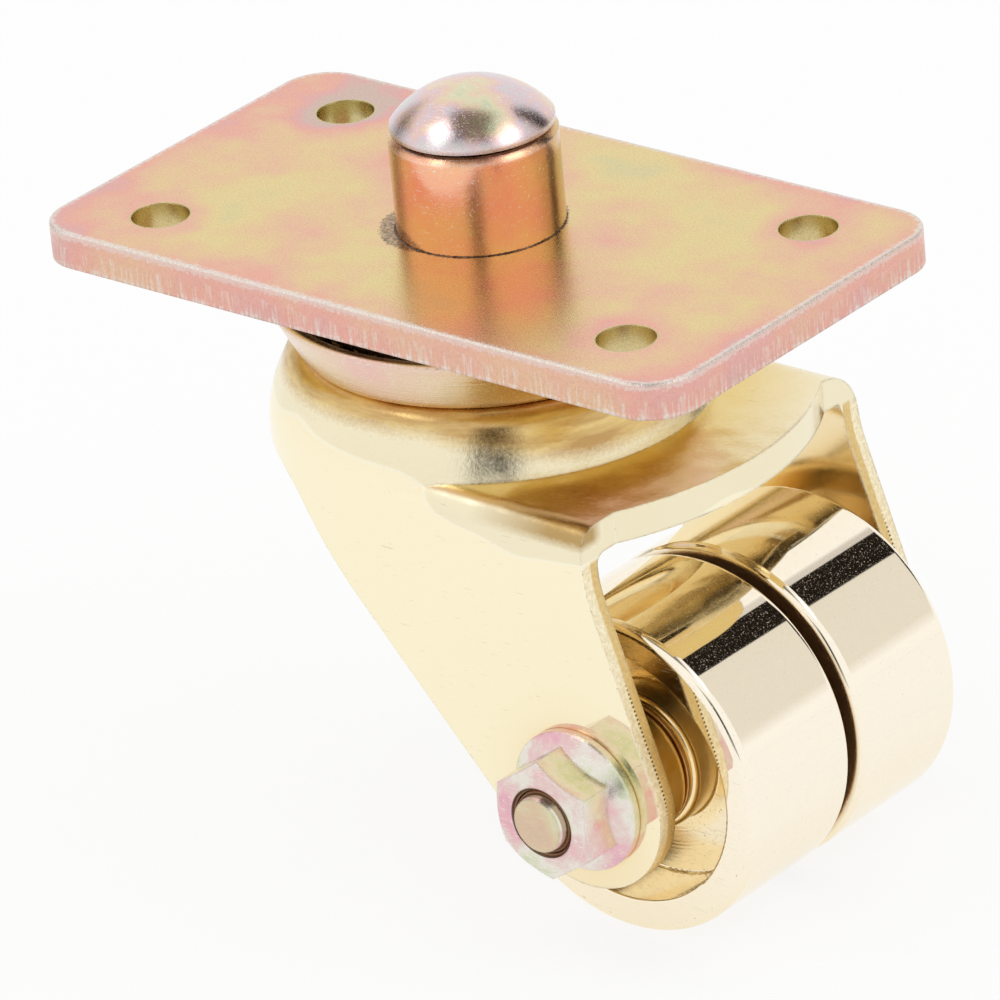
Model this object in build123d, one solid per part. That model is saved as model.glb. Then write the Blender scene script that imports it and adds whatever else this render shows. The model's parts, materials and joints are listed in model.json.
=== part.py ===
from build123d import *
from math import asin, atan2, cos, floor, hypot, pi, radians, sin, sqrt, tan
import os

# Piano castor: two wheels side by side in a deep-drawn fork, which swivels on a ball race
# under a flat mounting plate. Millimetres. The origin is on the swivel axis at the plate's
# top face, the face that bolts up against the piano. +Z is up. The wheels trail along +X
# and turn about Y. "Near" is the -Y side, where the axle's nut is, and "far" is the +Y side.

# Mounting plate
plate_length = 95.0
plate_width = 53.0
plate_thickness = 4.5
plate_corner_radius = 6.0
plate_edge_radius = 0.35
bolt_inset_x = 12.5
bolt_inset_y = 9.5
bolt_hole_radius = 3.5

# Sleeve that stands up through the plate
sleeve_radius = 10.0
sleeve_wall = 2.44
sleeve_height = 12.0
sleeve_edge_chamfer = 0.5

# King pin, its liner and the washer under its head
bush_wall = 1.5
pin_running_gap = 0.06
pin_foot_flange = 3.5
pin_foot_thickness = 3.0
head_set_in = 0.3
head_rim_height = 0.6
head_dome_height = 4.6
head_gap = 0.7
head_washer_set_in = 1.3
head_washer_gap = 0.1

# Fork, pressed from one sheet. Each bend is given by its inside radius
sheet = 2.8
fork_width = 52.0
crown_slope = 26.0
crown_side_run = 3.4
crown_top_bend = 0.4
crown_side_bend = 11.2
crown_back_offset = 1.4
crown_front_offset = 0.6
shelf_drop = 7.7
shelf_depth = 6.5
lip_reach = 5.4
lip_corner_radius = 1.4
lip_height = 4.0
near_bend_radius = 0.3
far_bend_radius = 3.6
skirt_height = 11.0
cheek_front_drop = 7.4
cheek_front_bend = 16.0
cheek_back_x = -13.4
cheek_back_bend = 12.0
cheek_end_margin = 2.8

# Pressed cup that holds the balls from below. It stands on the crown's flat top
cup_wall = 1.6
cup_rim_overhang = 0.2
cup_rim_gap = 1.9
cup_foot_bend = 1.6
cup_rim_round = 0.48
cup_hole_gap = 0.1

# Ball race between plate and cup
ball_radius = 2.5
ball_wall_inset = 4.6
ball_spacing_gap = 0.12
race_gap = 0.05
race_web = 2.0
race_land = 1.85
race_groove_depth = 1.15

# Axle, M8
trail = 29.9
wheel_headroom = 14.5
bolt_radius = 4.0
bolt_hole_gap = 0.15
bolt_point_set_in = 0.7
bolt_point_length = 1.5
bolt_end_stand_out = 0.8
hex_across_flats = 13.0
hex_turn = 33.5
hex_chamfer_angle = 30.0
hex_face_margin = 0.2
flange_ledge = 2.3
flange_edge = 1.2
flange_cone = 1.7
flange_edge_round = 0.3
nut_height = 7.4
nut_countersink = 0.45
bolt_head_height = 4.4

# Wheels and what they turn on
wheel_radius = 20.2
wheel_side_gap = 3.6
wheel_gap = 2.0
wheel_edge_radius = 1.1
rim_wall = 4.1
recess_depth = 8.0
recess_edge_radius = 0.3
axle_tube_wall = 1.4
wheel_running_gap = 0.06
wheel_bush_wall = 1.4
wheel_bush_length = 6.0
wheel_bush_flange = 0.5
wheel_bush_edge_round = 0.2
wheel_bush_set_in = 0.7
hub_wall = 1.83
hub_set_back = 3.8
hub_edge_radius = 1.0
side_play = 0.1
spacer_set_in = 0.5
spacer_edge_radius = 1.2

# Radii about the swivel axis, worked out from the sizes above
bush_outer_radius = sleeve_radius - sleeve_wall
bush_inner_radius = bush_outer_radius - bush_wall
pin_radius = bush_inner_radius - pin_running_gap
head_radius = sleeve_radius - head_set_in
half_width = fork_width / 2
crown_top_radius = half_width - crown_side_run
cup_rim_radius = half_width + cup_rim_overhang
ball_circle_radius = crown_top_radius - ball_wall_inset
groove_radius = ball_radius + race_gap
shelf_front_x = crown_front_offset + half_width + shelf_depth
lip_radius = shelf_front_x + lip_reach

# Levels down the swivel axis
plate_under = -plate_thickness
ball_level = plate_under - race_web - groove_radius
crown_level = ball_level - groove_radius - race_web
shelf_level = crown_level - shelf_drop
axle_level = shelf_level - wheel_headroom - wheel_radius

# Sizes about the axle
cheek_inside = half_width - sheet
flange_radius = hex_across_flats / 2 + flange_ledge
cheek_end_radius = flange_radius + cheek_end_margin
axle_hole_radius = bolt_radius + bolt_hole_gap
axle_tube_radius = axle_hole_radius + axle_tube_wall
wheel_bore_radius = axle_tube_radius + wheel_running_gap
hub_bore_radius = wheel_bore_radius + wheel_bush_wall
hub_radius = hub_bore_radius + hub_wall
wheel_bush_flange_radius = hub_radius - wheel_bush_set_in
spacer_radius = hub_radius - spacer_set_in
recess_radius = wheel_radius - rim_wall
wheel_outer_face = cheek_inside - wheel_side_gap
hub_face = wheel_outer_face - hub_set_back


def turned(points, radii):
    """A piece turned about Z: its half section through (radius, height) points, each
    corner rounded by its own radius."""
    outline = FilletPolyline(*points, radius=radii, close=True)
    return revolve(make_face(Plane.XZ * outline), axis=Axis.Z)


def ring(outer_radius, inner_radius, low, high):
    """A plain ring about Z between two heights."""
    height = high - low
    blank = Cylinder(outer_radius, height) - Cylinder(inner_radius, height)
    return Pos(0, 0, (low + high) / 2) * blank


def on_axle(piece, side):
    """Lay a piece turned about Z along the axle, its +Z end pointing out to one side:
    -1 is the near side and +1 the far side."""
    return Pos(trail, 0, axle_level) * Rot(-90 * side, 0, 0) * piece


def make_top_plate():
    plate = Pos(0, 0, plate_under) * extrude(
        RectangleRounded(plate_length, plate_width, plate_corner_radius), plate_thickness
    )
    plate = fillet(plate.faces().sort_by(Axis.Z)[-1].outer_wire().edges(), plate_edge_radius)
    hole = Pos(0, 0, plate_under / 2) * Cylinder(bolt_hole_radius, plate_thickness * 2)
    spacing_x = plate_length - 2 * bolt_inset_x
    spacing_y = plate_width - 2 * bolt_inset_y
    for corner in GridLocations(spacing_x, spacing_y, 2, 2):
        plate -= corner * hole
    return plate - Pos(0, 0, plate_under / 2) * Cylinder(sleeve_radius, plate_thickness * 2)


def make_stem_sleeve():
    sleeve = ring(sleeve_radius, bush_outer_radius, plate_under, sleeve_height)
    top_face = sleeve.faces().sort_by(Axis.Z)[-1]
    return chamfer(top_face.outer_wire().edges(), sleeve_edge_chamfer)


def make_pin_bush():
    return ring(bush_outer_radius, bush_inner_radius, plate_under, sleeve_height)


def make_head_washer():
    low = sleeve_height + head_washer_gap
    return ring(head_radius - head_washer_set_in, pin_radius, low, sleeve_height + head_gap)


def make_king_pin():
    """Foot under the crown, plain shank, and a head closed over into a low dome."""
    foot_top = crown_level - sheet
    foot_bottom = foot_top - pin_foot_thickness
    foot_radius = pin_radius + pin_foot_flange
    head_bottom = sleeve_height + head_gap
    rim_top = head_bottom + head_rim_height
    dome_radius = (head_radius**2 + head_dome_height**2) / (2 * head_dome_height)
    side = Polyline(
        (0, rim_top + head_dome_height),
        (0, foot_bottom),
        (foot_radius, foot_bottom),
        (foot_radius, foot_top),
        (pin_radius, foot_top),
        (pin_radius, head_bottom),
        (head_radius, head_bottom),
        (head_radius, rim_top),
    )
    half_angle = asin(head_radius / dome_radius) / 2
    dome_centre = rim_top + head_dome_height - dome_radius
    dome_middle = (dome_radius * sin(half_angle), dome_centre + dome_radius * cos(half_angle))
    dome = ThreePointArc((head_radius, rim_top), dome_middle, (0, rim_top + head_dome_height))
    return revolve(make_face(Plane.XZ * (side + dome)), axis=Axis.Z)


def make_upper_race():
    """Ring under the plate with the upper ball groove."""
    low = ball_level + groove_radius - race_groove_depth
    width = 2 * (groove_radius + race_land)
    section = Pos(ball_circle_radius, (low + plate_under) / 2) * Rectangle(width, plate_under - low)
    section -= Pos(ball_circle_radius, ball_level) * Circle(groove_radius)
    return revolve(Plane.XZ * section, axis=Axis.Z)


def make_race_balls():
    pitch = 2 * asin((ball_radius + ball_spacing_gap / 2) / ball_circle_radius)
    count = floor(2 * pi / pitch)
    balls = [place * Sphere(ball_radius) for place in PolarLocations(ball_circle_radius, count)]
    return Pos(0, 0, ball_level) * Compound(balls)


def make_race_cup():
    """Dish with a flat floor, a ball groove in it and a wall that opens out to the rim."""
    rim_level = plate_under - cup_rim_gap
    floor_level = ball_level - groove_radius + race_groove_depth
    slope = (cup_rim_radius - crown_top_radius) / (rim_level - crown_level)
    inner_floor_radius = crown_top_radius - cup_wall + slope * (floor_level - crown_level)
    section_points = [
        (pin_radius + cup_hole_gap, crown_level),
        (crown_top_radius, crown_level),
        (cup_rim_radius, rim_level),
        (cup_rim_radius - cup_wall, rim_level),
        (inner_floor_radius, floor_level),
        (pin_radius + cup_hole_gap, floor_level),
    ]
    rounding = [0, cup_foot_bend, cup_rim_round, cup_rim_round, cup_foot_bend / 2, 0]
    dish = turned(section_points, rounding)
    groove = Pos(0, 0, ball_level) * Torus(ball_circle_radius, groove_radius)
    return dish - groove


def crown_section(inset):
    """Half section of the drawn crown and its skirt, set in from the outer skin by inset.
    The skirt is upright, the side slopes in by crown_slope, and the top is flat."""
    half_slope = radians(crown_slope) / 2
    half_rest = radians(90 - crown_slope) / 2
    side_level = crown_level - crown_side_run / tan(radians(crown_slope))
    skirt_x = half_width - inset
    skin = sheet - inset
    points = [
        (0, crown_level - inset),
        (0, axle_level),
        (skirt_x, axle_level),
        (skirt_x, side_level - inset * tan(half_slope)),
        (crown_top_radius - inset * tan(half_rest), crown_level - inset),
    ]
    radii = [0, 0, 0, crown_side_bend + skin, crown_top_bend + skin]
    return make_face(Plane.XZ * FilletPolyline(*points, radius=radii, close=True))


def make_crown(inset):
    """The crown as a closed body: half rounds at back and front, with a short straight
    stretch between them."""
    half = crown_section(inset)
    back = Pos(-crown_back_offset, 0, 0) * Rot(0, 0, 90) * revolve(half, Axis.Z, 180)
    front = Pos(crown_front_offset, 0, 0) * Rot(0, 0, -90) * revolve(half, Axis.Z, 180)
    length = crown_back_offset + crown_front_offset
    side = Pos(-crown_back_offset, 0, 0) * extrude(Rot(0, 0, 90) * half, length, dir=(1, 0, 0))
    return back + front + side + mirror(side, Plane.XZ)


def make_cheek_box(inset):
    """The two cheeks and the shelf over them as a closed body, its shoulders rounded by
    the bends of the sheet."""
    side_y = half_width - inset
    top = shelf_level - inset
    bottom = axle_level - cheek_end_radius
    skin = sheet - inset
    outline = FilletPolyline(
        (-side_y, bottom),
        (side_y, bottom),
        (side_y, top),
        (-side_y, top),
        radius=[0, 0, far_bend_radius + skin, near_bend_radius + skin],
        close=True,
    )
    start = Plane.YZ.offset(crown_front_offset)
    return extrude(make_face(start * outline), trail + cheek_end_radius)


def tangent_point(point, centre, radius, side):
    """Where a line from a point touches a circle, on its left (+1) or right (-1)."""
    across = centre[0] - point[0]
    along = centre[1] - point[1]
    distance = hypot(across, along)
    angle = atan2(along, across) + side * asin(radius / distance)
    reach = sqrt(distance**2 - radius**2)
    return (point[0] + reach * cos(angle), point[1] + reach * sin(angle))


def make_side_trim():
    """What the side view keeps: crown and short skirt at the back, and cheeks that run
    down to a round end about the axle."""
    centre = (trail, axle_level)
    front_corner = (shelf_front_x, shelf_level - cheek_front_drop)
    back_corner = (cheek_back_x, crown_level - skirt_height)
    front_touch = tangent_point(front_corner, centre, cheek_end_radius, 1)
    back_touch = tangent_point(back_corner, centre, cheek_end_radius, -1)
    back_end = -crown_back_offset - fork_width
    top = crown_level + sheet
    upper = FilletPolyline(
        back_touch,
        back_corner,
        (back_end, crown_level - skirt_height),
        (back_end, top),
        (shelf_front_x, top),
        front_corner,
        front_touch,
        radius=[cheek_back_bend, 0, 0, 0, cheek_front_bend],
    )
    lowest = (trail, axle_level - cheek_end_radius)
    end = ThreePointArc(front_touch, lowest, back_touch)
    profile = make_face(Plane.XZ * (upper + end))
    return extrude(profile, half_width + sheet, both=True)


def lip_plan(inset):
    """The shelf's front edge in plan: an arc about the swivel axis between the cheeks,
    and square with them beside it."""
    front_x = shelf_front_x - inset
    return Circle(lip_radius - inset) + Pos(front_x / 2, 0) * Rectangle(front_x, fork_width)


def make_lip():
    """The shelf from the cheeks' front edges on, its own edge turned down a little."""
    back_x = shelf_front_x - sheet
    keep = Pos((back_x + lip_radius) / 2, 0) * Rectangle(lip_radius - back_x, 2 * cheek_inside)
    shelf = extrude(lip_plan(0) & keep, -sheet)
    apron = extrude((lip_plan(0) - lip_plan(sheet)) & keep, -lip_height)
    return (Pos(0, 0, shelf_level) * (shelf + apron)) & make_cheek_box(0)


def make_lip_corner():
    """Small round web where the lip's lower edge runs into a cheek, on the far side."""
    middle_y = cheek_inside - lip_corner_radius / 2
    middle_z = shelf_level - lip_height - lip_corner_radius / 2
    block = Pos(middle_y, middle_z) * Rectangle(lip_corner_radius, lip_corner_radius)
    hollow_y = cheek_inside - lip_corner_radius
    hollow_z = shelf_level - lip_height - lip_corner_radius
    web = block - Pos(hollow_y, hollow_z) * Circle(lip_corner_radius)
    return extrude(Plane.YZ.offset(shelf_front_x - sheet) * web, sheet)


def make_fork():
    outside = (make_crown(0) + make_cheek_box(0)) & make_side_trim()
    inside = make_crown(sheet) + make_cheek_box(sheet)
    fork = outside - inside + make_lip()
    fork += make_lip_corner()
    fork += mirror(make_lip_corner(), Plane.XZ)
    fork -= Pos(0, 0, crown_level) * Cylinder(pin_radius, sheet * 4)
    axle_hole = Rot(90, 0, 0) * Cylinder(axle_hole_radius, fork_width * 2)
    return fork - Pos(trail, 0, axle_level) * axle_hole


def hex_prism(height):
    """Hexagon of the hardware's size, from Z=0 up, its top corners turned off to a cone."""
    face_radius = hex_across_flats / 2 - hex_face_margin
    blank_radius = hex_across_flats / sqrt(3) + hex_face_margin
    cone_drop = (blank_radius - face_radius) * tan(radians(hex_chamfer_angle))
    hexagon = RegularPolygon(hex_across_flats / 2, 6, major_radius=False, rotation=hex_turn)
    prism = extrude(hexagon, height)
    blank_points = [
        (0, 0),
        (blank_radius, 0),
        (blank_radius, height - cone_drop),
        (face_radius, height),
        (0, height),
    ]
    return prism & turned(blank_points, [0] * len(blank_points))


def flange_with_hex(height):
    """A flange that thickens towards a hexagon, from Z=0 up."""
    flange = turned(
        [
            (0, 0),
            (flange_radius, 0),
            (flange_radius, flange_edge),
            (hex_across_flats / 2, flange_edge + flange_cone),
            (0, flange_edge + flange_cone),
        ],
        [0, flange_edge_round, flange_edge_round, 0, 0],
    )
    return flange + hex_prism(height)


def make_flange_nut():
    nut = flange_with_hex(nut_height) - Cylinder(bolt_radius, nut_height * 3)
    mouth = Cone(bolt_radius, bolt_radius + nut_countersink, nut_countersink)
    nut -= Pos(0, 0, nut_height - nut_countersink / 2) * mouth
    return on_axle(Pos(0, 0, half_width) * nut, -1)


def make_axle_bolt():
    """Flanged hexagon head on the far side, and a plain shank through to the nut that
    ends in a turned point."""
    head = flange_with_hex(bolt_head_height)
    shank_end = -(fork_width + nut_height + bolt_end_stand_out)
    shank_points = [
        (0, 0),
        (bolt_radius, 0),
        (bolt_radius, shank_end + bolt_point_length),
        (bolt_radius - bolt_point_set_in, shank_end),
        (0, shank_end),
    ]
    shank = turned(shank_points, [0] * len(shank_points))
    return on_axle(Pos(0, 0, half_width) * (head + shank), 1)


def make_axle_tube():
    return on_axle(ring(axle_tube_radius, axle_hole_radius, -cheek_inside, cheek_inside), 1)


def make_wheel(side):
    """Solid wheel, one half of the pair: rounded tread edges, and a deep turned recess
    that leaves a plain hub in the middle."""
    inner_face = wheel_gap / 2
    floor_level = wheel_outer_face - recess_depth
    points = [
        (hub_bore_radius, inner_face),
        (wheel_radius, inner_face),
        (wheel_radius, wheel_outer_face),
        (recess_radius, wheel_outer_face),
        (recess_radius, floor_level),
        (hub_radius, floor_level),
        (hub_radius, hub_face),
        (hub_bore_radius, hub_face),
    ]
    tread_edges = [wheel_edge_radius] * 2
    recess_edges = [recess_edge_radius] * 3
    radii = [0] + tread_edges + recess_edges + [hub_edge_radius, 0]
    return on_axle(turned(points, radii), side)


def make_wheel_bush(side, seat, outward):
    """Flanged bush pressed into a hub. Its flange rests on the hub face at seat, and
    outward is +1 for the bush on the wheel's outer side and -1 for the inner one."""
    inner_end = seat - outward * wheel_bush_length
    body = ring(hub_bore_radius, wheel_bore_radius, min(seat, inner_end), max(seat, inner_end))
    flange_end = seat + outward * wheel_bush_flange
    low, high = sorted([seat, flange_end])
    flange = turned(
        [
            (wheel_bore_radius, low),
            (wheel_bush_flange_radius, low),
            (wheel_bush_flange_radius, high),
            (wheel_bore_radius, high),
        ],
        [0, wheel_bush_edge_round, wheel_bush_edge_round, 0],
    )
    return on_axle(body + flange, side)


def make_side_spacer(side):
    """Collar between a cheek and the wheel's outer bush, its edges rounded."""
    low = hub_face + wheel_bush_flange + side_play
    points = [
        (axle_tube_radius, low),
        (spacer_radius, low),
        (spacer_radius, cheek_inside),
        (axle_tube_radius, cheek_inside),
    ]
    return on_axle(turned(points, [0, spacer_edge_radius, spacer_edge_radius / 2, 0]), side)


def make_centre_spacer():
    half = wheel_gap / 2 - wheel_bush_flange - side_play
    return on_axle(ring(wheel_bush_flange_radius, axle_tube_radius, -half, half), 1)


def save(name, shape):
    export_step(shape, f"parts/{name}.step")


os.makedirs("parts", exist_ok=True)
save("top_plate", make_top_plate())
save("stem_sleeve", make_stem_sleeve())
save("pin_bush", make_pin_bush())
save("head_washer", make_head_washer())
save("king_pin", make_king_pin())
save("upper_race", make_upper_race())
save("race_balls", make_race_balls())
save("race_cup", make_race_cup())
save("fork", make_fork())
save("axle_bolt", make_axle_bolt())
save("flange_nut", make_flange_nut())
save("axle_tube", make_axle_tube())
save("centre_spacer", make_centre_spacer())
for side_name, side in (("near", -1), ("far", 1)):
    save(f"{side_name}_wheel", make_wheel(side))
    save(f"{side_name}_outer_bush", make_wheel_bush(side, hub_face, 1))
    save(f"{side_name}_inner_bush", make_wheel_bush(side, wheel_gap / 2, -1))
    save(f"{side_name}_spacer", make_side_spacer(side))
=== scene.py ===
# %% [markdown]
# # A piano castor in polished gold and yellow zinc
#
# This lesson dresses a finished CAD model of a twin-wheel piano castor. The shapes are
# already right, so most of the work is what a plater would call the finish: mirror-bright
# gold on the fork and wheels, and yellow zinc chromate on the plate, tower and hardware.
# A mirror shows its surroundings, so the studio around the castor matters as much as the
# materials do.

# %% Load the frame
import json
import math
import random
from functools import partial

import bmesh
import bpy
from mathutils import Matrix, Vector


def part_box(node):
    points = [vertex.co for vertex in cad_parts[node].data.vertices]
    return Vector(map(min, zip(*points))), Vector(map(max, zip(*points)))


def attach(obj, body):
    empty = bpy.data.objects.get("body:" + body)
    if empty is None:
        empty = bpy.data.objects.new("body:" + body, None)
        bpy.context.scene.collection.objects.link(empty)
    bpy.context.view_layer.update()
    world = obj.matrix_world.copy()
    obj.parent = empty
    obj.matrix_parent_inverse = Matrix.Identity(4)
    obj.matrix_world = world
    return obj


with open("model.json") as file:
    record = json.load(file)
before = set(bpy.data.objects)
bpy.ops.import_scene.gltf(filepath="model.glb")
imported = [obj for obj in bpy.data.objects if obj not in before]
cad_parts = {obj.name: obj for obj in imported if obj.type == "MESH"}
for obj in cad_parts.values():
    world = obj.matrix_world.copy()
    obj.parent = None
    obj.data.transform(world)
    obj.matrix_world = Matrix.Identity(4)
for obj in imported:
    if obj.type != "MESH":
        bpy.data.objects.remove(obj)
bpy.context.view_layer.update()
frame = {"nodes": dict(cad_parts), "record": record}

MM = 0.001

# %% [markdown]
# ## Sizes read from the frame
#
# Patterns and added pieces have to sit exactly on the metal, so their places come from the
# boxes of the CAD nodes. Nothing is typed in twice.

# %% Sizes
plate_low, plate_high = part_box("top_plate")
sleeve_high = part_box("stem_sleeve")[1]
fork_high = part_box("fork")[1]
wheel_low, wheel_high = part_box("near_wheel")
nut_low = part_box("flange_nut")[0]

bolts = next(m for m in frame["record"]["mounts"] if m["name"] == "bolts")
hole_x = bolts["dims"]["spacing_x_mm"] * MM / 2
hole_y = bolts["dims"]["spacing_y_mm"] * MM / 2
hole_radius = bolts["dims"]["hole_r_mm"] * MM
plate_under = plate_low.z
sleeve_radius = sleeve_high.x
axle_x = (wheel_low.x + wheel_high.x) / 2
axle_z = (wheel_low.z + wheel_high.z) / 2
wheel_radius = (wheel_high.z - wheel_low.z) / 2
crown_top = fork_high.z
floor_level = wheel_low.z
print("axle at", round(axle_x / MM, 1), round(axle_z / MM, 1), "floor at", round(floor_level / MM, 1))

# %% [markdown]
# ## The camera
#
# The photograph was taken from far away with a very long lens, a little above the plate and
# from the right of it. The camera was solved from the plate's edges, its four holes and the
# round tower, and it rolls a few degrees because the photographer's did.

# %% Camera
CAMERA_PLACE = Vector((645.5, -733.6, 436.2)) * MM
CAMERA_TARGET = Vector((4.99, -6.99, -31.99)) * MM
CAMERA_ROLL = math.radians(5.343)
CAMERA_LENS = 330.5

camera_data = bpy.data.cameras.new("photo_camera")
camera_data.lens = CAMERA_LENS
camera_data.sensor_width = 36.0
camera_data.clip_start = 0.01
camera_data.clip_end = 50.0
camera = bpy.data.objects.new("photo_camera", camera_data)
bpy.context.scene.collection.objects.link(camera)
view_turn = (CAMERA_TARGET - CAMERA_PLACE).to_track_quat("-Z", "Y").to_matrix().to_4x4()
camera.matrix_world = (
    Matrix.Translation(CAMERA_PLACE) @ view_turn @ Matrix.Rotation(-CAMERA_ROLL, 4, "Z")
)
bpy.context.scene.camera = camera
print("camera", round((CAMERA_TARGET - CAMERA_PLACE).length / MM), "mm from the castor")

# %% [markdown]
# ## Small helpers
#
# Colours are written as the hex values a paint shop would give, and one function turns them
# into the linear numbers that light is mixed with. Another adds a shader node with its
# settings and links. Each material gets that helper bound to its own tree, under the name
# add, so that what follows reads as a list of steps. A last one turns a mesh into an object.

# %% Helpers for colours and nodes
def linear_rgb(hex_colour):
    """sRGB hex to linear RGB with an alpha of one."""
    channels = [int(hex_colour[i : i + 2], 16) / 255 for i in (1, 3, 5)]
    return [c / 12.92 if c <= 0.04045 else ((c + 0.055) / 1.055) ** 2.4 for c in channels] + [1.0]


def set_inputs(node, inputs):
    """Fill a node's inputs, listed in their order or by name. Each is a number, a vector, a
    hex colour, a socket, or another node, whose first output is meant."""
    if isinstance(inputs, dict):
        pairs = [(node.inputs[name], value) for name, value in inputs.items()]
    else:
        pairs = zip([socket for socket in node.inputs if socket.enabled], inputs)
    for socket, value in pairs:
        if isinstance(value, bpy.types.Node):
            value = next(output for output in value.outputs if output.enabled)
        if isinstance(value, bpy.types.NodeSocket):
            node.id_data.links.new(value, socket)
        elif isinstance(value, str):
            socket.default_value = linear_rgb(value)
        else:
            socket.default_value = value


def add_node(tree, kind, inputs=(), stops=(), **settings):
    """Add a shader node with its settings and links, and a ramp's places and colours."""
    added = tree.nodes.new("ShaderNode" + kind)
    for name, value in settings.items():
        setattr(added, name, value)
    set_inputs(added, inputs)
    for index, (place, colour) in enumerate(stops):
        elements = added.color_ramp.elements
        stop = elements[index] if index < 2 else elements.new(place)
        stop.position = place
        stop.color = linear_rgb(colour)
    return added


def start_material(name):
    """A new material, the node helper for it, its shader, and the place on the object."""
    material = bpy.data.materials.new(name)
    material.use_nodes = True
    add = partial(add_node, material.node_tree)
    shader = material.node_tree.nodes["Principled BSDF"]
    return material, add, shader, add("TexCoord").outputs["Object"]


def object_from(name, shape, material):
    """Turn a finished mesh shape into an object of the scene, dressed in one material."""
    mesh = bpy.data.meshes.new(name)
    shape.to_mesh(mesh)
    shape.free()
    mesh.materials.append(material)
    added = bpy.data.objects.new(name, mesh)
    bpy.context.scene.collection.objects.link(added)
    return added


print("middle grey is", [round(channel, 3) for channel in linear_rgb("#808080")])

# %% [markdown]
# ## The studio
#
# The photograph is a high-key cut-out: white floor, white surroundings. Two things in the
# room show only as reflections. A dark gap stands upright between two light panels, and it
# gives both wheels their black band. The ceiling over the camera is darker than the walls,
# and it gives the polished dome its grey top. Two soft lamps give the dome its two white
# windows. A white world at a strength of one is seen by the camera and by the metal.

# %% World
SOFT_LIGHT = 0.86  # strength of the white world as lighting
PAPER_SEEN_WHITE = 0.84  # share of the floor that is plain white to camera and mirrors


def seen_rays(add):
    """1 for rays from the camera, a mirror or glass, 0 for the rays that carry soft light."""
    path = add("LightPath")
    camera_or_mirror = [path.outputs["Is Camera Ray"], path.outputs["Is Glossy Ray"]]
    seen = add("Math", camera_or_mirror, operation="MAXIMUM")
    return add("Math", [seen, path.outputs["Is Transmission Ray"]], operation="MAXIMUM")


def build_world():
    """A plain white room that the camera and the metal see whole, and that lights a little
    less, so that the paper's shade and the gold don't burn out."""
    world = bpy.data.worlds.new("white_studio")
    bpy.context.scene.world = world
    world.use_nodes = True
    world.node_tree.nodes.clear()
    add = partial(add_node, world.node_tree)
    white = add("Background", ["#ffffff", 1.0])
    soft = add("Background", ["#ffffff", SOFT_LIGHT])
    add("OutputWorld", [add("MixShader", [seen_rays(add), soft, white])])


build_world()
bpy.context.scene.view_settings.view_transform = "Standard"
print("view transform:", bpy.context.scene.view_settings.view_transform)

# %% [markdown]
# ## The floor
#
# Product photographs stand on a sweep of white paper that is lit until it burns out. Most
# of this floor is therefore plain white to the camera and to mirrors, and the rest is lit
# paper, which keeps the castor's faint shadow.

# %% Floor
def paper_material():
    """White paper: to the camera and to mirrors most of it is plain white, and the rest
    is lit, so that the castor's soft shadow stays."""
    material, add, shader, place = start_material("white paper sweep")
    # Paper fibre is finer than a pixel, so it is drawn half a millimetre coarse.
    fibre = add("TexNoise", [place, 1 / (0.5 * MM), 2.0])
    shade = add("ValToRGB", [fibre], stops=[(0.3, "#fafaf9"), (0.7, "#ffffff")])
    set_inputs(shader, {"Base Color": shade, "Roughness": 1.0, "Specular IOR Level": 0.0})
    glow = add("Emission", ["#ffffff", 1.0])
    share = add("Math", [seen_rays(add), PAPER_SEEN_WHITE], operation="MULTIPLY")
    output = material.node_tree.nodes["Material Output"]
    set_inputs(output, {"Surface": add("MixShader", [share, shader, glow])})
    return material


def build_floor():
    """A disc of paper under the wheels, wide enough to have no border in any view."""
    shape = bmesh.new()
    bmesh.ops.create_circle(shape, cap_ends=True, segments=96, radius=2.5)
    bmesh.ops.translate(shape, verts=shape.verts, vec=(0, 0, floor_level))
    floor = object_from("floor", shape, paper_material())
    return floor


floor = build_floor()
print("floor laid at", round(floor_level / MM, 2), "mm")

# %% [markdown]
# ## Things for the metal to mirror
#
# A polished part looks like what stands round it, so each card plays one thing in the room:
# the gap between two light panels, the ceiling, the camera's stand and a door on each side.
# Only mirror rays see the cards, so they cast no shadow and tint no soft light. A border so
# far out of focus is blurred, so each card thins out towards its edges.

# %% Panels that only show as reflections
MIDDLE = Vector((0.0, 0.0, -0.03))  # the castor's middle, which all cards and lamps face


def direction(azimuth, elevation):
    """Unit vector from the castor's middle, azimuth from +X towards +Y, in degrees."""
    a, e = math.radians(azimuth), math.radians(elevation)
    return Vector((math.cos(e) * math.cos(a), math.cos(e) * math.sin(a), math.sin(e)))


def soft_card(name, colour, centre, turn, width, height, solid):
    """Card that thins out towards its borders, so that its reflection has soft edges.
    Solid is the share of it, from its middle, that is whole."""
    material, add, shader, place = start_material(name + " card")
    set_inputs(shader, {"Base Color": colour, "Roughness": 1.0, "Specular IOR Level": 0.0})
    offset = add("VectorMath", [place, centre], operation="SUBTRACT")
    shares = []
    for column, size in ((0, width), (1, height)):
        side = turn.col[column].to_3d()
        along = add("VectorMath", [offset, side], operation="DOT_PRODUCT")
        away = add("Math", [along], operation="ABSOLUTE")
        shares.append(add("Math", [away, 2 / size], operation="MULTIPLY"))
    outermost = add("Math", shares, operation="MAXIMUM")
    whole = add("MapRange", [outermost, solid, 1.0, 1.0, 0.0])
    card = add("MixShader", [whole, add("BsdfTransparent"), shader])
    set_inputs(material.node_tree.nodes["Material Output"], {"Surface": card})
    return material


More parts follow.
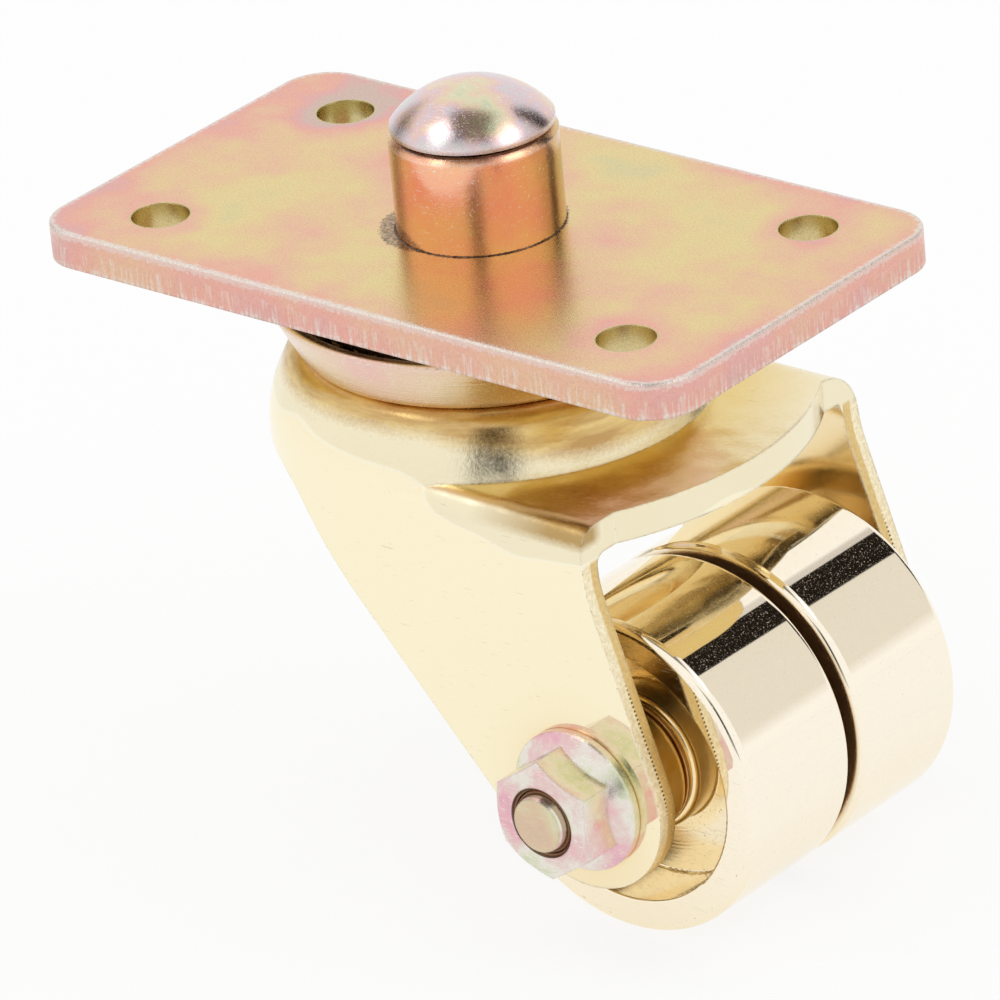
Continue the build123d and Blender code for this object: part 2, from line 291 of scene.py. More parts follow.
def build_panel(name, azimuth, elevation, distance, width, height, upright, colour, solid):
    """A flat card that faces the castor. Only mirror reflections see it."""
    away = direction(azimuth, 0 if upright else elevation)
    turn = away.to_track_quat("Z", "Y").to_matrix().to_4x4()
    centre = MIDDLE + direction(azimuth, elevation) * distance
    shape = bmesh.new()
    bmesh.ops.create_grid(shape, x_segments=1, y_segments=1, size=0.5)
    bmesh.ops.scale(shape, verts=shape.verts, vec=(width, height, 1))
    bmesh.ops.transform(shape, verts=shape.verts, matrix=turn)
    bmesh.ops.translate(shape, verts=shape.verts, vec=centre)
    panel = object_from(name, shape, soft_card(name, colour, centre, turn, width, height, solid))
    panel.visible_camera = False
    panel.visible_diffuse = False
    panel.visible_shadow = False
    return panel


# name, azimuth, elevation, distance, width, height (metres), upright, colour, solid share
build_panel("dark_gap", 70.5, 34.0, 1.69, 0.43, 1.50, True, "#241f1b", 0.94)
build_panel("gap_shade", 78.0, 34.0, 1.72, 0.36, 1.50, True, "#9c8d87", 0.20)
build_panel("grey_ceiling", -60.0, 84.0, 1.5, 1.3, 1.3, False, "#8a857f", 0.60)
build_panel("camera_stand", -55.0, 17.0, 1.5, 0.72, 1.30, True, "#38332f", 0.30)
build_panel("left_door", 176.0, 22.0, 1.6, 1.15, 1.00, True, "#857b70", 0.10)
build_panel("right_door", 55.5, 27.0, 1.75, 0.95, 1.38, True, "#f6f2ea", 0.75)
print("cards set up around the castor")

# %% [markdown]
# ## Soft lamps
#
# Two soft boxes hang over the castor, and the dome mirrors them as its two white windows.
# An area light gives the same even, square-cornered face. Its power is worked out from how
# bright the face should look, so a box can change size and keep its brightness.

# %% Soft lamps
def build_lamp(name, azimuth, elevation, distance, width, height, radiance):
    """A soft box as an area light. Its power comes from how bright its face should look."""
    lamp_data = bpy.data.lights.new(name, "AREA")
    lamp_data.shape = "RECTANGLE"
    lamp_data.size = width
    lamp_data.size_y = height
    lamp_data.energy = radiance * math.pi * width * height
    lamp = bpy.data.objects.new(name, lamp_data)
    bpy.context.scene.collection.objects.link(lamp)
    place = MIDDLE + direction(azimuth, elevation) * distance
    turn = direction(azimuth, elevation).to_track_quat("Z", "Y").to_matrix().to_4x4()
    lamp.matrix_world = Matrix.Translation(place) @ turn
    return lamp


build_lamp("window_right", 22, 54, 1.2, 0.50, 0.28, 1.7)
build_lamp("window_left", -134, 60, 1.2, 0.46, 0.34, 1.7)

# %% [markdown]
# ## Patterns that several finishes share
#
# Handling leaves the same marks on every soft bright metal: a few hairlines that run any
# way, and tiny pin marks. A hairline is a noise stretched some thirty times longer than it
# is wide and cut off near its peak. A real one is a hundredth of a millimetre wide. One
# pixel covers about a tenth, so they are drawn that wide. The light on every edge is a bevel
# that exists only in the shading. A deburring drum leaves about 0.2 mm, and 0.3 to 0.8 mm
# is drawn, because a line under two pixels wide would flicker in and out.

# %% Shared patterns
CORNER_REACH = 20 * MM  # how far round a place its surroundings make it an enclosed corner


def patches(
    add, place, size_mm, low, high, out_low=0.0, out_high=1.0, detail=3.0, roughness=0.7
):
    """Lumps of a size in millimetres, cut soft between two levels of the noise."""
    grain = add("TexNoise", [place, 1 / (size_mm * MM), detail, roughness])
    return add("MapRange", [grain, low, high, out_low, out_high])


def painted(add, tint, mask, strength, colour):
    """Lay a colour over a tint where the mask is, at most as strong as given."""
    amount = add("Math", [mask, strength], operation="MULTIPLY")
    return add("Mix", [amount, tint, colour], data_type="RGBA")


def scratches(add, place, strokes):
    """Hairlines as a 0 to 1 mask. Each kind of stroke has a length and a width in
    millimetres, an angle, and the level of the noise from which it shows."""
    mask = None
    for length_mm, width_mm, angle, level in strokes:
        along, across = 1 / (length_mm * MM), 1 / (width_mm * MM)
        rotation = (angle, angle * 1.7, angle * 0.6)
        stretch = {"Vector": place, "Rotation": rotation, "Scale": (along, across, across)}
        grain = add("TexNoise", [add("Mapping", stretch), 1.0, 1.0, 0.4])
        stroke = add("MapRange", [grain, level, level + 0.04])
        mask = stroke if mask is None else add("Math", [mask, stroke], operation="MAXIMUM")
    return mask


def in_relief(add, normal, layers):
    """Lay bumps over one another. A layer is a height, its depth in millimetres, below zero
    for a dent, and a strength, which can be a mask."""
    for height, depth_mm, strength in layers:
        bump = {"Height": height, "Distance": depth_mm * MM, "Strength": strength}
        if normal is not None:
            bump["Normal"] = normal
        normal = add("Bump", bump)
    return normal


def finish_metal(shader, tint, rough, normal):
    """Make the shader a bare metal with the given colour, roughness and relief."""
    set_inputs(shader, {"Base Color": tint, "Metallic": 1.0, "Roughness": rough, "Normal": normal})


print("patterns ready")

# %% Places for the patterns
def from_swivel(add, place):
    """How far a point is from the swivel axis."""
    level = add("VectorMath", [place, (1, 1, 0)], operation="MULTIPLY")
    return add("VectorMath", [level], operation="LENGTH")


def from_axle(add, place):
    """How far a point is from the axle's line."""
    centred = add("Mapping", {"Vector": place, "Location": (-axle_x, 0, -axle_z)})
    flat = add("VectorMath", [centred, (1, 0, 1)], operation="MULTIPLY")
    return add("VectorMath", [flat], operation="LENGTH")


def between(add, value, low, high, soft):
    """1 where a value lies between two limits, with soft shoulders outside them."""
    rise = add("MapRange", [value, low - soft, low])
    fall = add("MapRange", [value, high, high + soft, 1.0, 0.0])
    return add("Math", [rise, fall], operation="MULTIPLY")


def stippled(add, place, value, size_mm, reach_mm):
    """A value made to waver by a fine grain, so that a line cut from it looks stippled."""
    waver = patches(add, place, size_mm, 0.3, 0.7, -reach_mm * MM, reach_mm * MM)
    return add("Math", [value, waver], operation="ADD")


def edge_mask(add, rounded):
    """1 on an edge, 0 on open metal: how far the rounded normal leans from the real one."""
    real = add("NewGeometry").outputs["Normal"]
    lean = add("VectorMath", [rounded, real], operation="DOT_PRODUCT")
    return add("MapRange", [lean, 0.975, 0.86])


print("axle", round(axle_x / MM, 1), "mm beside the swivel axis")

# %% [markdown]
# ## Gold plate on the fork
#
# The fork is pressed from steel, polished, and plated in bright brass-gold under a clear
# lacquer. Flat cheeks were pressed against a smooth die and stay mirror-bright, while the
# stretched crown and shelf show the orange-peel grain of deep-drawn sheet. Open faces look
# pale, and deep corners, where light bounces from gold to gold, turn amber. A metal has no
# other colour than that of its reflections, so one pale and one deep tone are mixed by how
# enclosed a place is.

# %% Zones of the fork
SHEET = 2.8 * MM  # thickness of the drawn sheet
SHELF = crown_top - 7.7 * MM  # height of the front shelf
LIP_BOTTOM = SHELF - 4.2 * MM  # where the shelf's front lip ends
FOLD_FROM, FOLD_TO = 1.0 * MM, 19.0 * MM  # where along x the fold line falls
FOLD_HIGH, FOLD_LOW = -19.3 * MM, -25.7 * MM  # and from which height to which
TOOTH_PITCH = 0.5 * MM  # between two marks of the blanking die
fork_mesh = frame["nodes"]["fork"].data
lip_radius = max(math.hypot(v.co.x, v.co.y) for v in fork_mesh.vertices if v.co.z > SHELF - MM)


def drawn_zone(add, place, axis):
    """Above a line that falls from the crown to the lip, the sheet was stretched and is satin. Below
    it the cheek was pressed flat and is a mirror. The fold is the line, and a painted highlight is
    laid along it."""
    line = add(
        "MapRange",
        [axis.outputs["X"], FOLD_FROM, FOLD_TO, FOLD_HIGH, FOLD_LOW],
        interpolation_type="SMOOTHSTEP",
    )
    above = add("Math", [axis.outputs["Z"], line], operation="SUBTRACT")
    waver = patches(add, place, 14.0, 0.3, 0.7, -1.2 * MM, 1.2 * MM, detail=1.0, roughness=0.5)
    above = add("Math", [above, waver], operation="ADD")
    fold_highlight = between(add, above, -0.1 * MM, 0.1 * MM, 0.2 * MM)
    return add("MapRange", [above, -0.3 * MM, 0.3 * MM]), fold_highlight


def cut_edge_zone(add, axis):
    """The sheet's own edge where the cheeks were blanked, the row of tooth marks that the
    blanking die left half way through it, and the half of it on the inner side."""
    across = add("Math", [axis.outputs["Y"]], operation="ABSOLUTE")
    real = add("NewGeometry").outputs["Normal"]
    sideways = add("Math", [add("SeparateXYZ", [real]).outputs["Y"]], operation="ABSOLUTE")
    edge_on = add("MapRange", [sideways, 0.5, 0.3])
    low = add("MapRange", [axis.outputs["Z"], LIP_BOTTOM, LIP_BOTTOM - 0.5 * MM])
    outer = add("MapRange", [across, fork_high.y - SHEET - 0.1 * MM, fork_high.y - SHEET])
    edge = add("Math", [edge_on, low], operation="MULTIPLY")
    edge = add("Math", [edge, outer], operation="MULTIPLY")
    row = fork_high.y - SHEET / 2
    on_row = between(add, across, row - 0.12 * MM, row + 0.12 * MM, 0.06 * MM)
    torn = between(add, axis.outputs["Z"], axle_z + 2.0 * MM, axle_z + 14.0 * MM, 3.0 * MM)
    on_row = add("Math", [on_row, torn], operation="MULTIPLY")
    wave = add("Math", [axis.outputs["Z"], 2 * math.pi / TOOTH_PITCH], operation="MULTIPLY")
    teeth = add("MapRange", [add("Math", [wave], operation="SINE"), -0.1, 0.3])
    marks = add("Math", [edge, on_row], operation="MULTIPLY")
    marks = add("Math", [marks, teeth], operation="MULTIPLY")
    inner_side = add("MapRange", [across, row, row - 0.2 * MM])
    inner_half = add("Math", [edge, inner_side], operation="MULTIPLY")
    return edge, marks, inner_half


print("lip radius", round(lip_radius / MM, 2), "mm, shelf at", round(SHELF / MM, 2), "mm")

# %% Painted amber reflections on the drawn metal
AMBER_REAR = crown_top - 2.6 * MM  # the painted amber reflection on the crown reaches down to this behind
AMBER_FRONT = crown_top - 6.2 * MM  # and to this in front


def painted_amber_reflections(add, place, axis, tint):
    """Painted amber reflections, standing in for the plate's underside and the fork's own gold
    mirrored in the drawn metal: round the cup's foot, over the front of the crown, on the shelf
    beside the crown and along the near shoulder, and a painted dark line on the lip's edge."""
    height = axis.outputs["Z"]
    reach = from_swivel(add, place)
    stretched = add("Mapping", {"Vector": place, "Scale": (0.35, 0.35, 2.4)})
    streaks = add("TexNoise", [stretched, 1 / (3.0 * MM), 3.0, 0.6])
    streaks = add("MapRange", [streaks, 0.35, 0.68])
    amber = add("Mix", [streaks, "#b98a42", "#e6c67c"], data_type="RGBA")

    # Painted reflection: amber over the front of the crown, down to a line that falls towards the
    # front.
    front = add("MapRange", [axis.outputs["X"], 8.0 * MM, 23.0 * MM])
    crown_line = add("MapRange", [front, 0.0, 1.0, AMBER_REAR, AMBER_FRONT])
    above = stippled(add, place, height, 0.45, 0.35)
    above = add("Math", [above, crown_line], operation="SUBTRACT")
    on_crown = add("MapRange", [above, -0.8 * MM, 1.0 * MM])
    tint = painted(add, tint, on_crown, 0.85, amber)

    # Painted reflection: amber on the shelf beside the crown.
    facing = add("NewGeometry").outputs["Normal"]
    upward = add("MapRange", [add("SeparateXYZ", [facing]).outputs["Z"], 0.8, 0.95])
    before_crown = add("MapRange", [axis.outputs["X"], 9.0 * MM, 15.0 * MM])
    flat = add("Math", [upward, before_crown], operation="MULTIPLY")
    shelf_level = between(add, height, SHELF - 0.3 * MM, SHELF + 0.3 * MM, 0.2 * MM)
    on_shelf = add("Math", [flat, shelf_level], operation="MULTIPLY")
    by_crown = add("MapRange", [stippled(add, place, reach, 0.6, 0.8), 40.0 * MM, 29.0 * MM])
    painted_dark_reflection = add("Math", [on_shelf, by_crown], operation="MULTIPLY")
    tint = painted(add, tint, painted_dark_reflection, 0.85, "#e6c878")

    # Painted reflection: a darker amber along the near shoulder.
    near = add("MapRange", [axis.outputs["Y"], -22.0 * MM, -23.6 * MM])
    wavering = stippled(add, place, height, 0.35, 0.15)
    shoulder = between(add, wavering, SHELF - 1.6 * MM, SHELF - 0.4 * MM, 1.1 * MM)
    shoulder = add("Math", [near, shoulder], operation="MULTIPLY")
    ahead = add("MapRange", [axis.outputs["X"], 16.0 * MM, 28.0 * MM])
    shoulder = add("Math", [shoulder, ahead], operation="MULTIPLY")
    tint = painted(add, tint, shoulder, 0.85, "#b08a45")

    # Painted shade: a thin dark line along the lip's edge.
    wavering = stippled(add, place, reach, 0.5, 0.12)
    at_lip = between(add, wavering, lip_radius - 0.5 * MM, lip_radius - 0.3 * MM, 0.1 * MM)
    lip_level = between(add, height, SHELF - 0.4 * MM, SHELF + 0.4 * MM, 0.2 * MM)
    on_lip = add("Math", [flat, lip_level], operation="MULTIPLY")
    lip_line = add("Math", [at_lip, on_lip], operation="MULTIPLY")
    return painted(add, tint, lip_line, 0.7, "#6d5a38")


print("amber on the crown down to", round(AMBER_FRONT / MM, 1), "mm")

# %% Gold fork finish
def gold_fork_finish():
    """Pale gold, sharp as a mirror on the cheeks and blurred where the sheet was stretched."""
    material, add, shader, place = start_material("bright gold plate over drawn steel")
    axis = add("SeparateXYZ", [place])
    drawn, fold_highlight = drawn_zone(add, place, axis)
    cut_edge, tooth_marks, inner_half = cut_edge_zone(add, axis)
    across = add("Math", [axis.outputs["Y"]], operation="ABSOLUTE")
    inner_face = fork_high.y - SHEET
    within = add("MapRange", [across, inner_face + 0.4 * MM, inner_face + 0.2 * MM])
    below_lip = add("MapRange", [axis.outputs["Z"], LIP_BOTTOM, LIP_BOTTOM - 0.5 * MM])
    inner = add("Math", [below_lip, within], operation="MULTIPLY")

    # Orange peel on drawn steel is 0.1 to 0.2 mm coarse. That is a pixel or two, so it is
    # drawn 0.42 mm coarse to show.
    peel = add("TexNoise", [place, 1 / (0.42 * MM), 3.0, 0.6])
    grit = add("TexNoise", [place, 1 / (0.16 * MM), 2.0, 0.6])
    strokes = [(3.0, 0.11, 0.6, 0.775), (2.4, 0.10, 2.1, 0.78), (2.0, 0.10, 4.4, 0.78)]
    hairlines = scratches(add, place, strokes)
    rounded = add("Bevel", [0.5 * MM], samples=2)
    edges = edge_mask(add, rounded)
    worn = add("Math", [edges, patches(add, place, 0.8, 0.42, 0.6)], operation="MULTIPLY")
    dents = add("Math", [edges, patches(add, place, 0.7, 0.58, 0.62)], operation="MULTIPLY")

    # Painted shade: deep corners turn amber by how enclosed they are, for the light bounced from gold
    # to gold.
    corner = add("AmbientOcclusion", {"Distance": CORNER_REACH}, samples=2)
    enclosed = add("MapRange", [corner.outputs["AO"], 0.1, 0.8, 1.0, 0.0])
    tint = add("Mix", [enclosed, "#fdf3d3", "#eccb8c"], data_type="RGBA")
    cloudy = patches(add, place, 11.0, 0.45, 0.75, 0.0, 0.3, detail=2.0, roughness=0.5)
    cloudy = add("Math", [cloudy, drawn], operation="MULTIPLY")
    tint = add("Mix", [cloudy, tint, "#efddae"], data_type="RGBA")
    tint = painted(add, tint, drawn, 0.75, "#f1e7c8")
    # Painted highlight: a thin near-white line along the fold.
    tint = painted(add, tint, fold_highlight, 0.35, "#fffbea")
    tint = painted_amber_reflections(add, place, axis, tint)
    tint = painted(add, tint, inner_half, 0.75, "#dcb868")
    edge_grain = add("Math", [cut_edge, add("MapRange", [peel, 0.4, 0.6])], operation="MULTIPLY")
    tint = painted(add, tint, edge_grain, 0.3, "#caa35a")
    tint = painted(add, tint, worn, 0.8, "#fffaf0")
    tint = painted(add, tint, dents, 0.7, "#75623f")
    tint = painted(add, tint, tooth_marks, 0.9, "#4e3a1e")
    tint = painted(add, tint, hairlines, 0.45, "#9a7a48")

    rough = add("MapRange", [grit, 0.3, 0.7, 0.045, 0.085])
    for zone, low, high in ((drawn, 0.15, 0.27), (inner, 0.16, 0.20), (cut_edge, 0.25, 0.38)):
        satin = add("MapRange", [peel, 0.3, 0.7, low, high])
        rough = add("Mix", [zone, rough, satin], data_type="FLOAT")
    scuffed = add("Math", [hairlines, 0.25], operation="MULTIPLY")
    rough = add("Math", [rough, scuffed], operation="ADD")

    satin_inside = add("Math", [inner, 0.25], operation="MULTIPLY")
    satin = add("Math", [drawn, satin_inside], operation="MAXIMUM")
    satin = add("Math", [satin, cut_edge], operation="MAXIMUM")
    swell = add("Math", [drawn, 0.8], operation="MULTIPLY")
    cuts = add("Math", [hairlines, tooth_marks], operation="MAXIMUM")
    layers = [
        (peel, 0.022, add("Math", [satin, 0.8], operation="MULTIPLY")),
        (add("TexNoise", [place, 1 / (7.0 * MM), 1.0]), 0.45, swell),
        (add("TexNoise", [place, 1 / (8.0 * MM), 1.0]), 0.008, 0.5),
        (cuts, -0.006, 0.7),
    ]
    normal = in_relief(add, rounded, layers)
    finish_metal(shader, tint, rough, normal)
    return material


gold_fork = gold_fork_finish()
print(gold_fork.name, len(gold_fork.node_tree.nodes), "nodes")

# %% [markdown]
# ## Gold plate on the wheels
#
# The wheels are turned from bar and buffed on the lathe, then plated. Buffing leaves a true
# mirror on the tread, so the room shows in it almost sharp, broken by pin marks. Inside the
# recess the tool's rings were left, and the mirror is softer there. Real rings are about a
# sixth of a millimetre apart. They are drawn 0.9 mm coarse, because finer ones melt into a
# plain grey at this picture's size.

# %% Gold wheel finish
def gold_wheel_finish():
    """Pale mirror gold on the tread and softer in the recess, with painted light on the hub and
    painted shade in the corners and the gap.
    """
    material, add, shader, place = start_material("buffed gold plate over turned steel")
    reach = from_axle(add, place)
    inside = add("MapRange", [reach, wheel_radius - 3.9 * MM, wheel_radius - 4.2 * MM])
    on_hub = add("MapRange", [reach, 11.5 * MM, 10.0 * MM])
    axis = add("SeparateXYZ", [place])
    across = add("Math", [axis.outputs["Y"]], operation="ABSOLUTE")
    in_gap = add("MapRange", [across, 2.2 * MM, 1.2 * MM])
    below_tread = add("MapRange", [reach, wheel_radius - 0.4 * MM, wheel_radius - 1.1 * MM])
    painted_gap_shade = add("Math", [in_gap, below_tread], operation="MULTIPLY")

    turned = add("TexNoise", [add("CombineXYZ", [reach]), 1 / (0.9 * MM), 3.0, 0.7])
    rings = add("Math", [turned, inside], operation="MULTIPLY")
    pins = patches(add, place, 0.18, 0.71, 0.74, detail=1.0, roughness=0.5)
    hairlines = scratches(add, place, [(3.0, 0.08, 0.9, 0.72), (4.0, 0.07, 2.5, 0.73)])
    marks = add("Math", [pins, hairlines], operation="MAXIMUM")
    wavering = stippled(add, place, reach, 0.5, 0.05)
    rim = between(add, wavering, wheel_radius - 1.18 * MM, wheel_radius - 1.08 * MM, 0.04 * MM)
    outer_face = add("MapRange", [across, 19.0 * MM, 19.3 * MM])
    edge_line = add("Math", [rim, outer_face], operation="MULTIPLY")
    # A broken darker line where the rounded edge meets the outer face: partly nicks, partly a painted
    # dark reflection line.
    nicks_and_edge_shade = add("Math", [edge_line, patches(add, place, 1.2, 0.58, 0.66)], operation="MULTIPLY")

    # Painted shade: enclosed places in the recess turn a deeper gold by how enclosed they are.
    corner = add("AmbientOcclusion", {"Distance": CORNER_REACH}, samples=2)
    enclosed = add("MapRange", [corner.outputs["AO"], 0.15, 0.8, 1.0, 0.0])
    tint = add("Mix", [enclosed, "#fdf4e2", "#fbeac2"], data_type="RGBA")
    # Painted light: the hub is tinted brighter and yellower, because little light reaches into the
    # recess.
    tint = painted(add, tint, on_hub, 0.8, "#ffe6ae")
    # Painted shade: deep amber on the faces in the gap between the wheels.
    tint = painted(add, tint, painted_gap_shade, 0.6, "#a5723a")
    tint = painted(add, tint, marks, 0.3, "#c7ad86")
    tint = painted(add, tint, nicks_and_edge_shade, 0.45, "#b89c70")

    rough = add("Mix", [inside, 0.035, 0.17], data_type="FLOAT")
    for zone, amount, operation in (
        (on_hub, 0.2, "MAXIMUM"),
        (painted_gap_shade, 0.35, "MAXIMUM"),
        (marks, 0.45, "ADD"),
    ):
        dulled = add("Math", [zone, amount], operation="MULTIPLY")
        rough = add("Math", [rough, dulled], operation=operation)

    layers = [
        (rings, 0.03, 0.8),
        (add("TexNoise", [place, 1 / (5.0 * MM), 1.0]), 0.004, 0.5),
        (add("Math", [pins, nicks_and_edge_shade], operation="MAXIMUM"), -0.012, 0.8),
    ]
    finish_metal(shader, tint, rough, in_relief(add, None, layers))
    return material


gold_wheel = gold_wheel_finish()
print(gold_wheel.name, len(gold_wheel.node_tree.nodes), "nodes")

# %% [markdown]
# ## Deeper gold on the collars
#
# The collars beside the hubs are plain turned rings that were never buffed, so their light is broad.
# Their gold is warmer than the fork's, and it is drawn bright as painted light, because little light
# reaches into the recess round them.

# %% Collar finish
def collar_finish():
    """Warm gold with a broad, soft light."""
    material, add, shader, place = start_material("satin gold plate over turned steel")
    cloud = add("MapRange", [add("TexNoise", [place, 1 / (2.5 * MM), 2.0]), 0.35, 0.7])
    # Painted light: a bright warm gold, for the light that hardly reaches the collars.
    tint = add("Mix", [cloud, "#ffdc8c", "#f7c964"], data_type="RGBA")
    rough = patches(add, place, 0.3, 0.3, 0.7, 0.28, 0.4, detail=2.0, roughness=0.5)
    grain = add("TexNoise", [place, 1 / (0.3 * MM), 2.0])
    normal = in_relief(add, add("Bevel", [0.3 * MM], samples=2), [(grain, 0.01, 0.5)])
    finish_metal(shader, tint, rough, normal)
    return material


collar_gold = collar_finish()
print(collar_gold.name)

# %% [markdown]
# ## Yellow zinc chromate
#
# Zinc is plated on, then dipped in a chromate bath that leaves a film a few hundred
# nanometres thick. Light interferes in that film, so its colour drifts from yellow through
# orange and pink to a pale green wherever the film gets thicker, above all round holes,
# where the bath drains slowly. The drift is soft clouds a few centimetres wide run through
# a colour ramp, with the holes and the tower's foot added to the clouds. Corners were
# tumbled bare and show silver.

# %% Chromate colours
FILM_COLOURS = [
    (0.00, "#d9cf9a"),
    (0.22, "#e6d294"),
    (0.42, "#e8c698"),
    (0.58, "#e9bb9d"),
    (0.72, "#ecae9c"),
    (0.86, "#e3aca9"),
    (1.00, "#d3b8ad"),
]


def chromate_film(add, place, lump_mm, seed):
    """A value from 0 to 1 for how thick the film is, in soft clouds."""
    shifted = add("Mapping", {"Vector": place, "Location": (seed, seed * 0.7, seed * 1.3)})
    broad = add("TexNoise", [shifted, 1 / (lump_mm * MM), 3.0, 0.55])
    fine = add("TexNoise", [shifted, 1 / (lump_mm / 9 * MM), 3.0, 0.6])
    fine = add("MapRange", [fine, 0.3, 0.7, -0.5, 0.5])
    fine = add("Math", [fine, 0.16], operation="MULTIPLY")
    return add("Math", [add("MapRange", [broad, 0.28, 0.72]), fine], operation="ADD")


print("film colours:", len(FILM_COLOURS))

# %% Marks on the plate
PLATE_CORNER = 6.0 * MM  # radius of the plate's rounded corners
SMUDGE_SIDE = direction(-138, 0)  # where the shaved metal is heaped against the tower


def plate_distances(add, place):
    """Fold the plate so that its four corners fall on one, then measure from the hole's
    middle and from the middle of the rounded corner."""
    folded = add("VectorMath", [place], operation="ABSOLUTE")
    from_hole = add("VectorMath", [folded, (hole_x, hole_y, 0)], operation="SUBTRACT")
    corner_middle = (plate_high.x - PLATE_CORNER, plate_high.y - PLATE_CORNER, 0)
    outward = add("VectorMath", [folded, corner_middle], operation="SUBTRACT")
    outward = add("VectorMath", [outward, (0, 0, 0)], operation="MAXIMUM")
    return from_swivel(add, from_hole), from_swivel(add, outward)


def tower_foot(add, place):
    """A dark ring round the tower, with a smudge of shaved metal on one side of it."""
    toward = add("VectorMath", [place], operation="NORMALIZE")
    bearing = add("VectorMath", [toward, SMUDGE_SIDE], operation="DOT_PRODUCT")
    smudge_reach = add("MapRange", [bearing, 0.72, 0.97, 0.0, 1.7 * MM])
    gap = add("Math", [from_swivel(add, place), smudge_reach], operation="SUBTRACT")
    gap = stippled(add, place, gap, 0.6, 0.45)
    ring = add("MapRange", [gap, sleeve_radius + 0.1 * MM, sleeve_radius + 0.3 * MM, 1.0, 0.0])
    speckle = patches(add, place, 0.5, 0.42, 0.58, 0.45, 1.0)
    return add("Math", [ring, speckle], operation="MULTIPLY")


def sheared_side(add, place, outline, height):
    """The side that the shear cut: all of it, the rough half where the steel tore, the
    upright streaks that the blade drew, and the burr along the lower edge."""
    side = add("MapRange", [outline, PLATE_CORNER - 0.05 * MM, PLATE_CORNER - 0.01 * MM])
    torn = stippled(add, place, height, 2.5, 0.6)
    torn = add("MapRange", [torn, plate_under * 0.42, plate_under * 0.52])
    torn = add("Math", [side, torn], operation="MULTIPLY")
    squashed = add("Mapping", {"Vector": place, "Scale": (1, 1, 0.12)})
    streaks = add("TexNoise", [squashed, 1 / (0.35 * MM), 3.0])
    burr = stippled(add, place, height, 0.7, 0.4)
    burr = add("MapRange", [burr, plate_under + 0.6 * MM, plate_under + 0.3 * MM])
    burr = add("Math", [side, burr], operation="MULTIPLY")
    burr = add("Math", [burr, add("MapRange", [streaks, 0.4, 0.6])], operation="MULTIPLY")
    return side, torn, streaks, burr


print("plate", round(plate_high.x * 2 / MM, 1), "by", round(plate_high.y * 2 / MM, 1), "mm")

# %% Plate finish
def plate_finish():
    """A soft, coloured mirror on top, and torn steel with a thin film at the sides."""
    material, add, shader, place = start_material("yellow zinc chromate on rolled plate")
    hole_gap, outline = plate_distances(add, place)
    height = add("SeparateXYZ", [place]).outputs["Z"]
    side, torn, streaks, burr = sheared_side(add, place, outline, height)

    halo = add("MapRange", [hole_gap, hole_radius + 0.2 * MM, hole_radius + 4.5 * MM, 0.38, 0.0])
    border = add("MapRange", [outline, -1.0 * MM, PLATE_CORNER, 0.0, 0.3])
    thicker = add("Math", [halo, border], operation="ADD")
    film = add("Math", [chromate_film(add, place, 26.0, 0.031), thicker], operation="ADD")
    tint = add("ValToRGB", [film], stops=FILM_COLOURS)
    bore = add("MapRange", [hole_gap, hole_radius + 0.3 * MM, hole_radius + 0.1 * MM, 0.0, 0.8])
    tint = add("Mix", [bore, tint, "#d3cc8e"], data_type="RGBA")

    near_edge = stippled(add, place, outline, 0.6, 0.5)
    near_edge = add("MapRange", [near_edge, PLATE_CORNER - 0.9 * MM, PLATE_CORNER - 0.4 * MM])
    near_top = add("MapRange", [stippled(add, place, height, 0.5, 0.5), -1.0 * MM, -0.6 * MM])
    bare = add("Math", [near_edge, near_top], operation="MULTIPLY")
    under = add("MapRange", [height, plate_under + 0.05 * MM, plate_under + 0.01 * MM])
    under = add("Math", [under, side], operation="SUBTRACT")
    silver = add("Math", [torn, add("MapRange", [streaks, 0.5, 0.66])], operation="MULTIPLY")
    tint = painted(add, tint, bare, 0.85, "#e9e4dd")
    tint = painted(add, tint, tower_foot(add, place), 0.85, "#4a423c")
    tint = painted(add, tint, side, 0.45, "#e6b2aa")
    # Painted shade: the underside is tinted a deeper yellow, for the shade under the plate that the
    # fork mirrors.
    tint = painted(add, tint, under, 0.85, "#e6cf86")
    tint = painted(add, tint, silver, 0.55, "#ebe3da")
    tint = painted(add, tint, burr, 0.7, "#ece7e0")

    # Rolled steel's grain is a few hundredths of a millimetre, drawn 0.3 mm coarse to show.
    grain = add("TexNoise", [place, 1 / (0.3 * MM), 3.0, 0.65])
    speck = patches(add, place, 0.55, 0.68, 0.74, 0.0, 0.4, detail=2.0)
    tint = add("Mix", [speck, tint, "#efe2cf"], data_type="RGBA")
    browned = add("MapRange", [grain, 0.42, 0.64, 0.0, 0.22])
    tint = add("Mix", [browned, tint, "#c29a70"], data_type="RGBA")

    rough = add("MapRange", [grain, 0.3, 0.7, 0.2, 0.34])
    rougher = add("Math", [torn, 0.14], operation="MULTIPLY")
    rough = add("Math", [rough, rougher], operation="ADD")
    beaten = add("Math", [bare, burr], operation="MAXIMUM")
    layers = [
        (grain, 0.014, 0.7),
        (streaks, 0.12, add("Math", [torn, 0.8], operation="MULTIPLY")),
        (
            add("TexNoise", [place, 1 / (0.8 * MM), 3.0, 0.7]),
            0.14,
            add("Math", [beaten, 0.7], operation="MULTIPLY"),
        ),
    ]
    normal = in_relief(add, add("Bevel", [0.4 * MM], samples=2), layers)
    finish_metal(shader, tint, rough, normal)
    return material


zinc_plate = plate_finish()
print(zinc_plate.name, len(zinc_plate.node_tree.nodes), "nodes")

